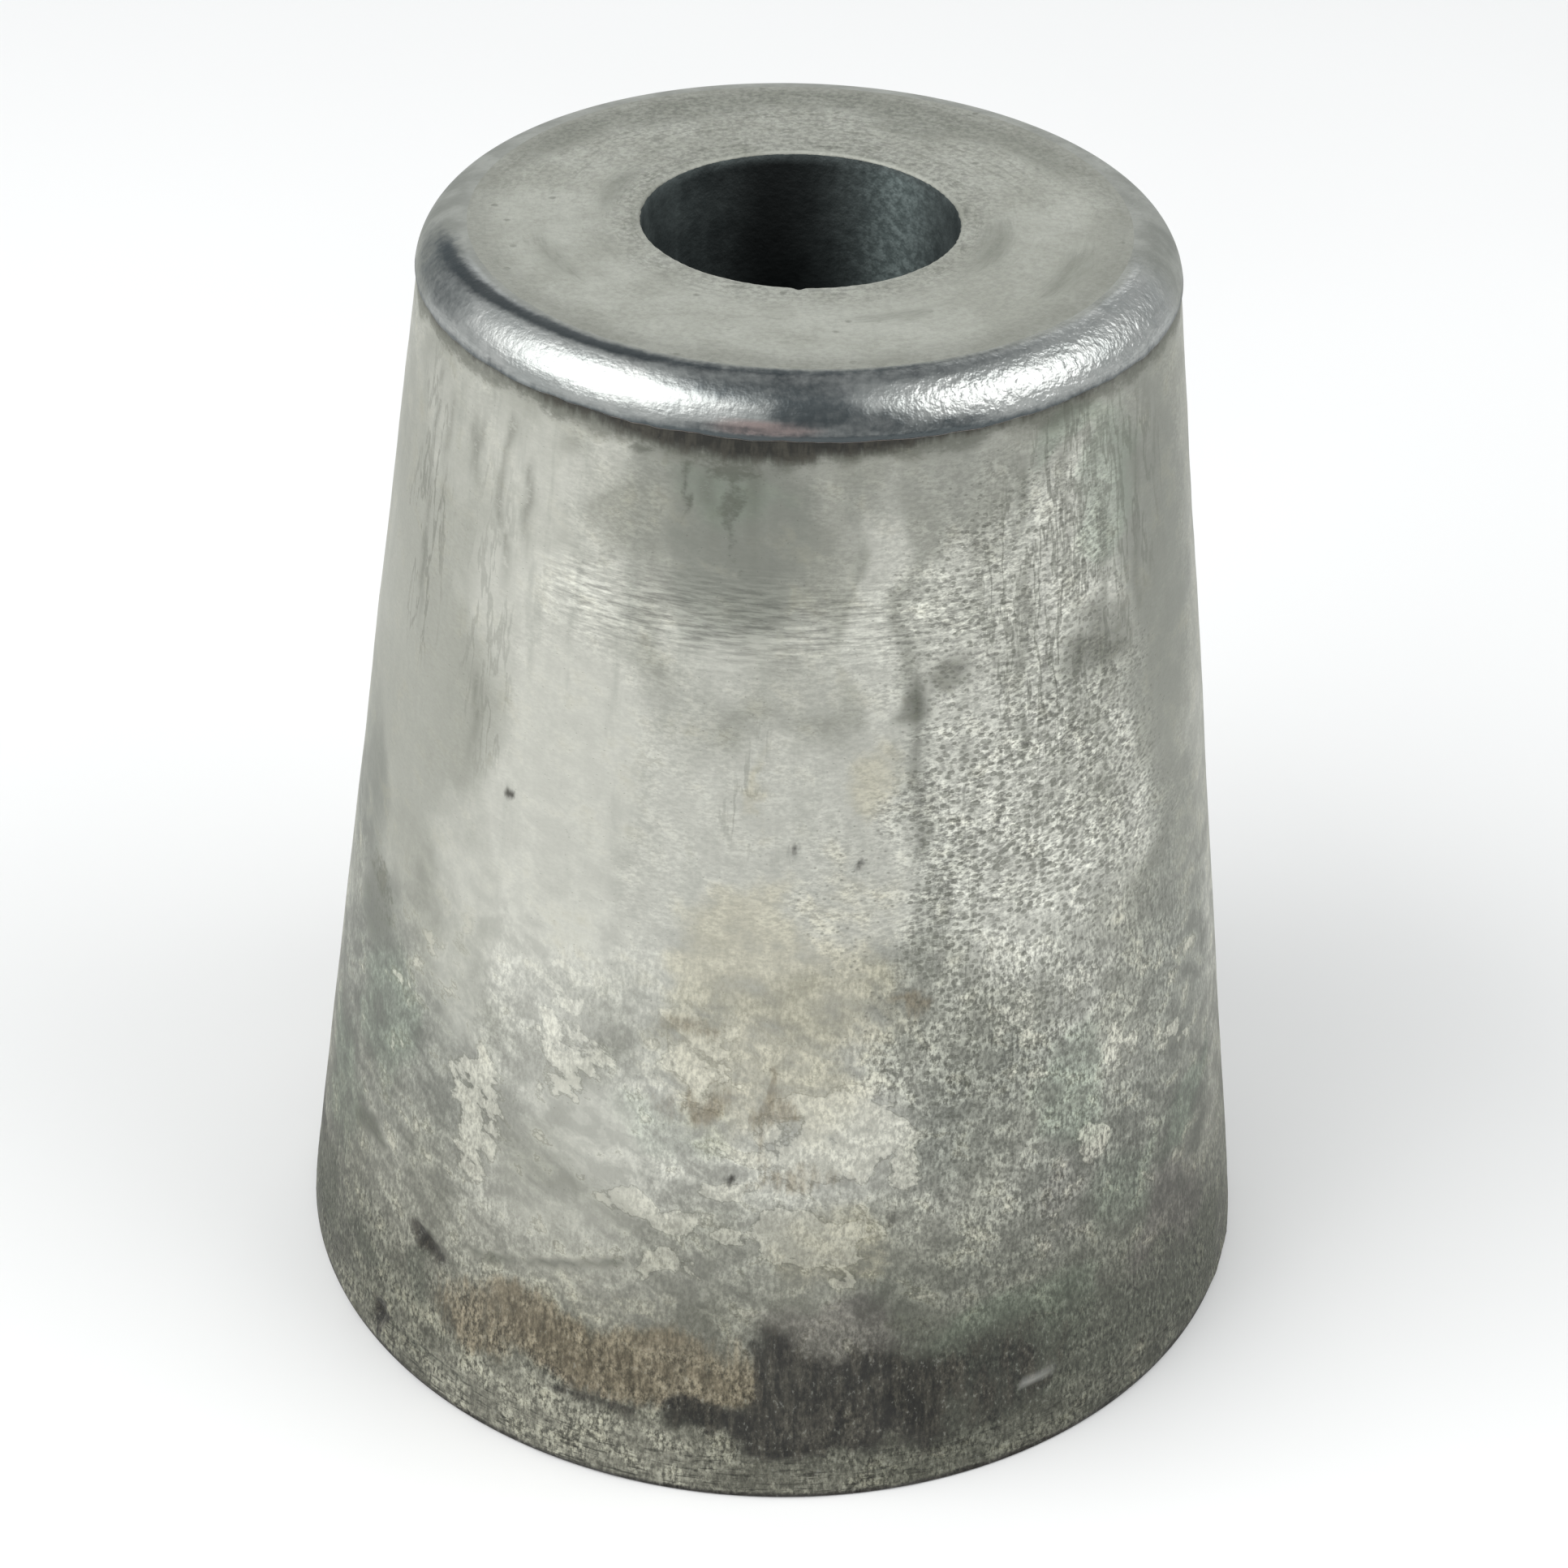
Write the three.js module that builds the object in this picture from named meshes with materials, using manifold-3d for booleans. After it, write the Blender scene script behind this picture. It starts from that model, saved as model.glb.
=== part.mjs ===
// Tapered zinc anode for the propeller nut at the end of a boat's shaft, in millimetres, +Z up.
// The origin is the centre of the base, the wide flat face that bears on the propeller nut.
// Two pieces: the zinc casting, and the steel bush that is cast into it as a seat for the M8 screw.

import * as THREE from "three";
import { mergeVertices } from "three/addons/utils/BufferGeometryUtils.js";
import Module from "manifold-3d";

// Casting, outside
const HEIGHT = 58;
const BASE_DIAMETER = 51.4;
const TOP_DIAMETER = 35.2; // where the cone's side, carried up past the rounded rim, meets the top plane
const RIM_RADIUS = 2.5;
const RIM_STEP = 0.1; // the polished rim stands this far proud of the cone below it

// Casting, inside
const COUNTERBORE_DIAMETER = 15; // clears the 13 mm head of an M8 socket screw
const REGISTER_DIAMETER = 26; // shallow recess in the base that centres on the nut's spigot
const REGISTER_DEPTH = 6;
const EDGE_CHAMFER = 0.5;

// Cast-in screw seat: a bush turned from hexagon bar
const SEAT_HEIGHT = 14; // top face of the bush, measured from the base
const SEAT_SPIGOT = 1; // round spigot that lifts the seat above the hexagon, into the counterbore
const HEX_WIDTH = 22; // across flats
const HEX_THICKNESS = 5;
const HEX_CHAMFER_ANGLE = THREE.MathUtils.degToRad(30);
const BOSS_DIAMETER = 16;
const SCREW_HOLE_DIAMETER = 9; // clearance hole for M8

// Room left between the zinc and the bush
const CAST_GAP = 0.3;

// Fineness of the round surfaces
const CASTING_SEGMENTS = 96;
const BUSH_SEGMENTS = 48;
const RIM_STEPS = 7;

const ZINC = { color: 0xa6a89d, roughness: 0.62, metalness: 0.75 };
const STEEL = { color: 0x8d8f90, roughness: 0.45, metalness: 0.9 };

const wasm = await Module();
wasm.setup();

// A closed three.js geometry as a solid that can be cut and joined.
function toSolid(geometry) {
  const bare = geometry.clone();
  bare.deleteAttribute("normal");
  bare.deleteAttribute("uv");
  const merged = mergeVertices(bare, 1e-4);
  const mesh = new wasm.Mesh({
    numProp: 3,
    vertProperties: merged.attributes.position.array,
    triVerts: new Uint32Array(merged.index.array),
  });
  return new wasm.Manifold(mesh);
}

function toGeometry(solid) {
  const mesh = solid.getMesh();
  const geometry = new THREE.BufferGeometry();
  geometry.setAttribute("position", new THREE.BufferAttribute(mesh.vertProperties, 3));
  geometry.setIndex(new THREE.BufferAttribute(mesh.triVerts, 1));
  geometry.computeVertexNormals();
  return geometry;
}

// Turns an outline of [radius, height] pairs about +Z. It runs anticlockwise, so the faces point out.
function turned(outline, segments) {
  const profile = outline.map(([radius, height]) => new THREE.Vector2(radius, height));
  return new THREE.LatheGeometry(profile, segments).rotateX(Math.PI / 2);
}

// The rounded rim from its lower edge on the cone up to where it meets the flat top.
function rimArc(taper) {
  const inset = (RIM_RADIUS * (1 - Math.sin(taper)) - RIM_STEP) / Math.cos(taper);
  const centreRadius = TOP_DIAMETER / 2 - inset;
  const centreHeight = HEIGHT - RIM_RADIUS;
  const points = [];
  for (let step = 0; step <= RIM_STEPS; step++) {
    const angle = THREE.MathUtils.lerp(taper, Math.PI / 2, step / RIM_STEPS);
    const radius = centreRadius + RIM_RADIUS * Math.cos(angle);
    const height = centreHeight + RIM_RADIUS * Math.sin(angle);
    points.push([radius, height]);
  }
  return points;
}

// The cone with its rim, screw counterbore and base register. The counterbore is blind here, because
// the bush's own space, cut out afterwards, joins it to the register.
function coneBlank() {
  const baseRadius = BASE_DIAMETER / 2;
  const slope = (BASE_DIAMETER - TOP_DIAMETER) / 2 / HEIGHT;
  const rim = rimArc(Math.atan(slope));
  const stepHeight = rim[0][1] - RIM_STEP;
  const counterboreRadius = COUNTERBORE_DIAMETER / 2;
  const counterboreFloor = SEAT_HEIGHT - SEAT_SPIGOT - HEX_THICKNESS / 2;
  const registerRadius = REGISTER_DIAMETER / 2;
  const outline = [
    [0, REGISTER_DEPTH],
    [registerRadius, REGISTER_DEPTH],
    [registerRadius, EDGE_CHAMFER],
    [registerRadius + EDGE_CHAMFER, 0],
    [baseRadius, 0],
    [baseRadius - slope * stepHeight, stepHeight],
    ...rim,
    [counterboreRadius, HEIGHT],
    [counterboreRadius, counterboreFloor],
    [0, counterboreFloor],
  ];
  return toSolid(turned(outline, CASTING_SEGMENTS));
}

// The bush's round boss and the chamfered hexagon on top of it. Grown by the gap, with the boss carried
// down past the register's floor, the same shape is the space that they fill in the zinc.
function bossAndHexagon(gap, bossFoot) {
  const flats = HEX_WIDTH / 2 + gap;
  const corners = flats / Math.cos(Math.PI / 6);
  const chamferHeight = (corners - flats) * Math.tan(HEX_CHAMFER_ANGLE);
  const bossRadius = BOSS_DIAMETER / 2 + gap;
  const top = SEAT_HEIGHT - SEAT_SPIGOT + gap;
  const underside = SEAT_HEIGHT - SEAT_SPIGOT - HEX_THICKNESS - gap;
  const outline = [
    [0, bossFoot],
    [bossRadius, bossFoot],
    [bossRadius, underside],
    [flats, underside],
    [corners, underside + chamferHeight],
    [corners, top - chamferHeight],
    [flats, top],
    [0, top],
  ];
  const hexBar = new THREE.CylinderGeometry(corners, corners, 2 * HEIGHT, 6).rotateX(Math.PI / 2);
  return toSolid(turned(outline, BUSH_SEGMENTS)).intersect(toSolid(hexBar));
}

// The spigot on the hexagon, rooted inside it. The screw's head bears on its top.
function seatSpigot() {
  const radius = COUNTERBORE_DIAMETER / 2 - CAST_GAP;
  const root = SEAT_HEIGHT - SEAT_SPIGOT - HEX_THICKNESS / 2;
  const outline = [
    [0, root],
    [radius, root],
    [radius, SEAT_HEIGHT],
    [0, SEAT_HEIGHT],
  ];
  return toSolid(turned(outline, BUSH_SEGMENTS));
}

// Clearance hole for the screw, with a chamfer at each mouth.
function screwHole() {
  const radius = SCREW_HOLE_DIAMETER / 2;
  const past = 1; // how far the cutter stands out of each face
  const outline = [
    [0, REGISTER_DEPTH - past],
    [radius + EDGE_CHAMFER + past, REGISTER_DEPTH - past],
    [radius, REGISTER_DEPTH + EDGE_CHAMFER],
    [radius, SEAT_HEIGHT - EDGE_CHAMFER],
    [radius + EDGE_CHAMFER + past, SEAT_HEIGHT + past],
    [0, SEAT_HEIGHT + past],
  ];
  return toSolid(turned(outline, BUSH_SEGMENTS));
}

function piece(name, solid, finish) {
  const mesh = new THREE.Mesh(toGeometry(solid), new THREE.MeshStandardMaterial(finish));
  mesh.name = name;
  return mesh;
}

const belowRegisterFloor = REGISTER_DEPTH - 1;
const casting = coneBlank().subtract(bossAndHexagon(CAST_GAP, belowRegisterFloor));
const bush = bossAndHexagon(0, REGISTER_DEPTH).add(seatSpigot()).subtract(screwHole());

const anode = new THREE.Group();
anode.add(piece("anode_casting", casting, ZINC));
anode.add(piece("screw_seat_bush", bush, STEEL));

export default anode;
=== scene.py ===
"""A tapered zinc shaft anode on a pale studio floor: the looks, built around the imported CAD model.

Lengths are in millimetres and angles in degrees until a mesh, a light or the camera is made. An angle on
the cone is 0 towards the camera (-Y) and grows to the right (+X). A place on its side is (angle, height).
"""

import math

import bpy
import numpy as np
from mathutils import Matrix, Vector, noise


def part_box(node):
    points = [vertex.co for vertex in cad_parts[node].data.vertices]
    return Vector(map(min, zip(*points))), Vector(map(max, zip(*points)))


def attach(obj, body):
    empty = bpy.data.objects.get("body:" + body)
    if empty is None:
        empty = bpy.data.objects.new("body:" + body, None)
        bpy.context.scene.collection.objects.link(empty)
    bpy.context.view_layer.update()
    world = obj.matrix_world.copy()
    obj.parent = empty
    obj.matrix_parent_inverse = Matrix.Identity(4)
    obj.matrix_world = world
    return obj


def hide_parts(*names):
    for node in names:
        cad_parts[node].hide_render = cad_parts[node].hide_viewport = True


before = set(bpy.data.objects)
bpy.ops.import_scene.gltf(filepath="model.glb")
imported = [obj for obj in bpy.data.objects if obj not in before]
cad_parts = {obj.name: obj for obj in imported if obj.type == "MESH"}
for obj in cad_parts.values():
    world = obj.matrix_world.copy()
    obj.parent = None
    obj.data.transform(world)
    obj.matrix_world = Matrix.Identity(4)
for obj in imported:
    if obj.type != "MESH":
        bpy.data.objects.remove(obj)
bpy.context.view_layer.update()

MM = 0.001

# Shapes that the casting shares with the CAD
_, casting_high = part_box("anode_casting")
HEIGHT = casting_high.z / MM
BASE_RADIUS = casting_high.x / MM
TOP_RADIUS = 17.6  # where the cone's side, carried up, meets the top plane
RIM_RADIUS = 2.5
RIM_STEP = 0.12
BORE_RADIUS = 7.5
REGISTER_RADIUS = 13.0
REGISTER_DEPTH = 6.0
CHAMFER = 0.5

# The steel bush, cast into the foot of the bore
_, bush_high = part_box("screw_seat_bush")
SEAT_HEIGHT = bush_high.z / MM
HEX_TOP = SEAT_HEIGHT - 1.0
HEX_BOTTOM = HEX_TOP - 5.0
HEX_FLATS = 11.0
BOSS_RADIUS = 8.0
SCREW_HOLE_RADIUS = 4.5
CAST_GAP = 0.06

SLOPE = (BASE_RADIUS - TOP_RADIUS) / HEIGHT
TAPER = math.atan(SLOPE)
MM_PER_DEGREE = math.radians(1) * (BASE_RADIUS + TOP_RADIUS) / 2


# ---------------- camera, light and floor


def add_object(name, data):
    """Puts a camera, a light or a mesh into the scene."""
    added = bpy.data.objects.new(name, data)
    bpy.context.scene.collection.objects.link(added)
    return added


def make_camera():
    """Looks down at the cone from the front, with the small aim and roll of a hand-held shot."""
    distance = 170.7
    elevation = math.radians(33.4)
    aim_below_centre = math.radians(0.86)
    roll = math.radians(1.69)
    data = bpy.data.cameras.new("camera")
    data.sensor_width = 36
    data.lens = 75.86
    camera = add_object("camera", data)
    back = -distance * math.cos(elevation)
    up = distance * math.sin(elevation) + HEIGHT / 2
    pitch = math.pi / 2 - elevation - aim_below_centre
    turn = Matrix.Rotation(pitch, 4, "X") @ Matrix.Rotation(roll, 4, "Z")
    camera.matrix_world = Matrix.Translation(Vector((0, back, up)) * MM) @ turn
    bpy.context.scene.camera = camera


def soft_light(name, angle, elevation, distance, size, power):
    """A soft box that faces the middle of the cone from the given angle and elevation."""
    data = bpy.data.lights.new(name, "AREA")
    data.shape = "RECTANGLE"
    data.size = size[0] * MM
    data.size_y = size[1] * MM
    data.energy = power
    light = add_object(name, data)
    turn = math.radians(angle)
    rise = math.radians(elevation)
    level = math.cos(rise)
    toward = Vector((math.sin(turn) * level, -math.cos(turn) * level, math.sin(rise)))
    light.location = (toward * distance + Vector((0, 0, HEIGHT / 2))) * MM
    light.rotation_euler = toward.to_track_quat("Z", "Y").to_euler()


def light_studio():
    world = bpy.data.worlds.new("studio")
    world.use_nodes = True
    background = world.node_tree.nodes["Background"]
    background.inputs["Color"].default_value = (0.95, 0.98, 1.0, 1)
    background.inputs["Strength"].default_value = 0.46
    bpy.context.scene.world = world
    soft_light("left_window", -66, 44, 420, (360, 340), 1.5)
    soft_light("right_window", 76, 42, 460, (380, 300), 1.15)
    soft_light("back_fill", 180, 22, 520, (360, 160), 0.3)
    view = bpy.context.scene.view_settings
    view.view_transform = "Standard"
    view.look = "None"


def make_floor():
    size = 3000 * MM
    mesh = bpy.data.meshes.new("floor")
    corners = [(-size, -size, 0), (size, -size, 0), (size, size, 0), (-size, size, 0)]
    mesh.from_pydata(corners, [], [(0, 1, 2, 3)])
    floor = add_object("floor", mesh)
    n = Nodes("pale_floor")
    tone = n.noise(n.place(), 0.02, detail=1)
    colour = n.mix(tone, (0.86, 0.86, 0.855), (0.89, 0.89, 0.885))
    n.finish(colour, metallic=0.0, roughness=0.7)
    mesh.materials.append(n.material)


# ---------------- material nodes

MASK_EDGE = 0.42  # the value of a stored mask at which a ragged edge is drawn


class Nodes:
    """Builds one material's nodes. Each method adds a node and returns the socket that it puts out."""

    def __init__(self, name):
        self.material = bpy.data.materials.new(name)
        self.material.use_nodes = True
        self.tree = self.material.node_tree
        self.tree.nodes.clear()

    def feed(self, socket, value):
        if isinstance(value, bpy.types.NodeSocket):
            self.tree.links.new(value, socket)
        elif socket.type == "RGBA":
            socket.default_value = (*value, 1)
        else:
            socket.default_value = value

    def place(self):
        """The point on the object, in millimetres."""
        coordinates = self.tree.nodes.new("ShaderNodeTexCoord").outputs["Object"]
        return self.stretch(coordinates, 1 / MM, 1 / MM, 1 / MM)

    def node(self, kind, inputs, **settings):
        """Adds a node with its settings, and feeds its inputs, which are given by name or by number."""
        node = self.tree.nodes.new("ShaderNode" + kind)
        for name, value in settings.items():
            setattr(node, name, value)
        for name, value in inputs.items():
            self.feed(node.inputs[name], value)
        return node

    def masks(self, name):
        """Three of the masks that are stored on the mesh."""
        stored = self.node("Attribute", {}, attribute_name=name)
        return self.split(stored.outputs["Vector"])

    def split(self, vector):
        x, y, z = self.node("SeparateXYZ", {0: vector}).outputs
        return x, y, z

    def join(self, x, y, z=0.0):
        return self.node("CombineXYZ", {0: x, 1: y, 2: z}).outputs[0]

    def math(self, operation, a, b=0.0):
        return self.node("Math", {0: a, 1: b}, operation=operation).outputs[0]

    def add(self, a, b):
        return self.math("ADD", a, b)

    def times(self, a, b):
        return self.math("MULTIPLY", a, b)

    def vector(self, operation, a, b=(0, 0, 0)):
        outputs = self.node("VectorMath", {0: a, 1: b}, operation=operation).outputs
        gives_number = operation in ("DOT_PRODUCT", "LENGTH")
        return outputs["Value" if gives_number else "Vector"]

    def stretch(self, place, x, y, z):
        """Scales the place along each axis. A number below 1 draws the pattern out that way."""
        return self.vector("MULTIPLY", place, (x, y, z))

    def slant(self, place):
        """Stretches the place along a line that runs down to the right on the front of the cone."""
        along = self.vector("DOT_PRODUCT", place, (0.55, 0, -0.34))
        across = self.vector("DOT_PRODUCT", place, (0.5, 0, 0.86))
        return self.join(along, self.times(self.split(place)[1], 0.65), across)

    def noise(self, at, scale, detail=2.0, roughness=0.5, distortion=0.0):
        inputs = {"Vector": at, "Scale": scale, "Detail": detail, "Roughness": roughness}
        inputs["Distortion"] = distortion
        return self.node("TexNoise", inputs).outputs["Fac"]

    def cells(self, at, scale):
        """The distance to the nearest of the scattered cell centres."""
        return self.node("TexVoronoi", {"Vector": at, "Scale": scale}).outputs["Distance"]

    def step(self, value, start, end):
        """Runs smoothly from 0 at start to 1 at end."""
        inputs = {"Value": value, "From Min": start, "From Max": end}
        return self.node("MapRange", inputs, interpolation_type="SMOOTHSTEP").outputs["Result"]

    def span(self, value, low, high):
        """Carries a value between 0 and 1 over to the range from low to high."""
        inputs = {"Value": value, "To Min": low, "To Max": high}
        return self.node("MapRange", inputs).outputs["Result"]

    def mix(self, amount, a, b):
        return self.node("Mix", {0: amount, 6: a, 7: b}, data_type="RGBA").outputs[2]

    def shade(self, colour, factor):
        """Multiplies a colour by a number."""
        return self.node("VectorMath", {0: colour, "Scale": factor}, operation="SCALE").outputs["Vector"]

    def vary(self, colour, change):
        """Makes a colour lighter by a share of itself, or darker where the share is negative."""
        return self.shade(colour, self.add(change, 1.0))

    def swing(self, value, amount):
        """Carries a value between 0 and 1 over to a swing about 0. The amount is its full width."""
        return self.times(self.add(value, -0.5), amount)

    def ragged(self, mask, rough, amount, soft):
        """Breaks up the edge of a stored mask with the noise called rough. Soft is how blurred it gets."""
        pushed = self.add(mask, self.swing(rough, amount))
        return self.step(pushed, MASK_EDGE - soft, MASK_EDGE + soft)

    def stain(self, mask, rough, amount, soft):
        """A ragged mask that leaves everything outside the stored mask clean."""
        inside = self.step(mask, 0.02, 0.18)
        return self.times(self.ragged(mask, rough, amount, soft), inside)

    def bump(self, height):
        """Turns a height in millimetres into a normal."""
        return self.node("Bump", {"Strength": 1.0, "Distance": MM, "Height": height}).outputs["Normal"]

    def finish(self, colour, metallic, roughness, normal=None):
        inputs = {"Base Color": colour, "Metallic": metallic, "Roughness": roughness}
        if normal is not None:
            inputs["Normal"] = normal
        shader = self.node("BsdfPrincipled", inputs)
        self.node("OutputMaterial", {"Surface": shader.outputs[0]})


# ---------------- where the weathering lies

# Each oval is its angle, its place up the side, half its width in degrees, half its height and its
# strength. The lists are the masks that the side's material reads.
OVALS = {
    # Skin that is coarse and pitted
    "coarse": [
        (22, 35, 9, 10, 0.9),
        (20, 47, 5, 5, 0.5),
        (38, 36, 22, 9, 1),
        (33, 47, 20, 7, 0.7),
        (30, 26, 20, 7, 0.85),
        (38, 17, 22, 8, 0.6),
        (52, 26, 12, 9, 0.6),
        (8, 33, 7, 5, 0.35),
    ],
    # Skin that is smoother than the rest
    "smooth": [
        (-62, 40, 20, 14, 1),
        (-30, 36, 10, 8, 0.4),
        (-40, 50, 8, 6, 0.6),
        (-25, 18, 10, 5, 0.5),
        (-45, 30, 8, 10, 0.6),
        (62, 44, 9, 10, 0.5),
        (-6, 50, 9, 5, 0.5),
    ],
    # Skin that is paler, and painted sheen: the soft reflections of the lit side, painted into the colour
    "paler_skin_and_painted_sheen": [
        (-30, 36, 13, 16, 0.9),
        (-40, 47, 10, 9, 0.6),
        (-18, 33, 12, 9, 0.7),
        (12.5, 46.5, 3.6, 8, 0.8),
        (24, 46.5, 9, 5, 0.7),
        (32, 35, 14, 7, 0.8),
        (50, 34, 7, 6, 0.6),
        (3, 22, 12, 7, 0.7),
        (-42, 28, 8, 9, 0.5),
        (-36, 15, 8, 5, 0.35),
        (2, 36, 18, 7, 1),
        (-4, 45.5, 14, 3.5, 0.5),
        (-28, 41, 9, 9, 0.6),
        (-24, 12.5, 17, 4, 0.62),
        (-13, 20, 14, 6, 0.62),
        (-50, 52, 16, 4, 0.5),
        (-24, 1.5, 20, 2.5, 1),
        (-28, 53.5, 9, 2.5, 0.6),
        (44, 48, 15, 5, 0.75),
        (24, 38, 16, 7, 0.95),
        (38, 12.5, 6, 2.5, 0.5),
    ],
    # Skin that is darker, and painted shade: a dark reflection over the upper front and shade towards the
    # far edges
    "darker_skin_and_painted_shade": [
        (-6, 51.5, 11, 5.5, 0.85),
        (-18, 53, 7, 4, 0.5),
        (20, 53.5, 18, 2.2, 0.3),
        (64, 45, 13, 12, 0.65),
        (63, 25, 13, 12, 0.6),
        (27, 22, 11, 5, 0.65),
        (50, 13, 22, 7, 0.85),
        (26, 11, 12, 4, 0.6),
        (-62, 20, 12, 7, 0.8),
        (-70, 12, 11, 7, 0.45),
        (-62, 5, 14, 3, 0.6),
        (17, 41, 2.5, 8, 0.4),
        (20, 33, 4, 6, 0.4),
        (-75, 29, 9, 7, 0.7),
        (-74, 16, 9, 7, 0.7),
        (-50, 19, 16, 5, 0.45),
        (-10, 12, 12, 2, 0.3),
        (40, 5, 40, 5, 0.9),
        (15, 10.5, 8, 4, 0.9),
        (58, 1.5, 24, 3, 1),
        (64, 13, 9, 4, 0.9),
        (-76, 1.5, 12, 3, 0.9),
    ],
    # Dark green-grey blotches
    "dark": [
        (-5, 54.4, 4.5, 0.6, 0.7),
        (-21, 54.8, 3, 0.5, 0.7),
        (-12, 52.8, 0.9, 1.8, 0.6),
        (-5, 52, 1.2, 2.4, 0.5),
        (17, 43.1, 3.4, 1.5, 0.44),
        (23, 44, 4.2, 1.5, 0.44),
        (46, 43.6, 7, 2.4, 0.5),
        (-66, 25, 6, 2.5, 0.42),
        (-60, 11.8, 6, 1, 0.65),
        (-45.8, 7, 2.2, 2.4, 0.8),
        (-59, 5.5, 5, 0.8, 0.8),
        (-74, 4, 9, 3, 0.8),
        (-8, 4.1, 6, 0.9, 0.8),
        (26, 5.6, 14, 2.8, 1),
        (44, 5.2, 17, 3, 1.15),
        (62, 4, 14, 3, 0.8),
        (18, 9.2, 7, 2.2, 0.5),
    ],
    # Black stains near the foot
    "black": [
        (2.2, 7, 5, 3.4, 1.3),
        (10, 6.2, 8, 3.2, 1.25),
        (18, 5.4, 8, 3, 1.15),
        (28, 5.2, 9, 2.4, 0.6),
        (-6, 4.2, 6, 1.1, 0.9),
        (6, 4, 13, 1.6, 1.3),
        (-53, 1.9, 1, 0.8, 1),
    ],
    # Brown stains
    "brown": [
        (-24, 6.8, 13, 2.2, 1),
        (-13, 7.2, 8, 2.4, 1),
        (-5.5, 6.6, 5, 2.2, 0.9),
        (-36, 6.3, 7, 2.2, 0.8),
        (0.2, 22.8, 1.2, 2.8, 0.55),
        (-8, 23, 3.4, 0.8, 0.6),
        (-9, 26.2, 3, 0.8, 0.5),
        (-13, 22.4, 1.5, 0.7, 0.5),
        (14.5, 27.8, 1.8, 0.7, 0.8),
        (4, 18.9, 7, 0.9, 0.35),
    ],
    # Pale crust with sharp edges
    "pale": [
        (8, 21.2, 8.5, 3, 0.8),
        (17, 19.4, 2.6, 1.4, 0.7),
        (4.5, 15.5, 5, 1.3, 1),
        (9.2, 15.2, 1.6, 0.9, 0.9),
        (8.2, 13.3, 1.6, 0.7, 0.8),
        (-6, 18.4, 3.8, 0.7, 1),
        (-18, 17.2, 5, 1.1, 0.8),
        (-13, 16, 3.4, 0.8, 0.8),
        (-9, 25.5, 6, 2.6, 0.45),
        (-4.5, 14.9, 2.2, 0.7, 0.7),
        (-38, 19, 5.5, 3, 0.6),
        (-38, 15.8, 4, 1.2, 0.6),
        (-26, 24.5, 8, 3.8, 0.5),
        (-13, 13.4, 2.8, 0.5, 0.8),
        (36, 13.2, 2.8, 1, 0.5),
        (42, 16.4, 2.8, 1.8, 0.55),
        (49, 21, 2.6, 1.4, 0.5),
        (36, 26, 8, 1.8, 0.45),
        (61, 19.6, 4, 1.4, 0.5),
    ],
    # Green tints
    "green": [
        (50, 51, 8, 4.4, 0.7),
        (40, 54.4, 8, 1.1, 0.6),
        (-7, 53, 8, 1.8, 0.5),
        (40, 20, 6, 3.4, 0.6),
        (48, 12.5, 6, 2.6, 0.5),
        (30, 7.6, 14, 3, 0.8),
        (-12, 21.2, 9, 1.8, 0.4),
        (-72, 12, 9, 5, 0.6),
        (62, 14.5, 9, 1.8, 0.6),
        (-60, 20, 9, 5, 0.5),
    ],
    # Yellowed skin
    "yellow": [
        (-5, 31, 9, 3.6, 0.75),
        (3, 28.5, 12, 4, 0.7),
        (8, 33, 6, 4, 0.35),
        (-2.5, 39, 0.9, 2.4, 0.6),
        (-2, 24.5, 13, 4, 0.7),
        (8, 15, 6, 2.2, 0.5),
        (12, 39.8, 3.8, 1.8, 0.6),
        (-20, 10, 12, 3, 0.3),
    ],
    # Skin with fine upright cracks
    "cracked": [
        (40, 47, 14, 10, 1),
        (52, 50, 12, 6, 0.8),
        (24, 34, 10, 7, 0.6),
        (38, 37, 8, 4, 0.6),
        (-62, 47, 7, 8, 0.8),
        (-44, 44, 5, 9, 0.5),
        (-4, 39, 3, 4, 0.5),
    ],
    # Purple-grey skin
    "purple": [
        (8, 10.2, 8, 2, 0.75),
        (57, 9, 9, 4.6, 0.8),
        (-22, 5, 7, 0.6, 0.7),
        (-9, 4.9, 5, 0.7, 0.6),
        (38, 14, 8, 3, 0.4),
    ],
}
# The masks are stored on the mesh in threes.
MASK_SETS = {
    "skin": ("coarse", "paler_skin_and_painted_sheen", "darker_skin_and_painted_shade"),
    "stain_dark": ("dark", "black", "brown"),
    "stain_pale": ("pale", "green", "yellow"),
    "stain_rest": ("purple", "rubbed", "cracked"),
    "lines": ("drip", "scratch", "smooth"),
}


def unit(value):
    """Holds a value between 0 and 1."""
    return np.clip(value, 0, 1)


def bell(away):
    """A bell curve: 1 where away is 0, and 0.37 where it is 1."""
    return np.exp(-(away**2))


def turn_between(angle, other):
    """The signed angle from the second to the first, the short way round."""
    return (angle - other + 180) % 360 - 180


def ovals(angle, height, shapes):
    """The strongest of several soft ovals at each place."""
    mask = np.zeros_like(angle)
    for centre, level, half_angle, half_height, strength in shapes:
        across = turn_between(angle, centre) / half_angle
        up = (height - level) / half_height
        away = across * across + up * up
        edge = unit((1.6 - away) / 1.5)
        mask = np.maximum(mask, strength * edge * edge * (3 - 2 * edge))
    return mask


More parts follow.
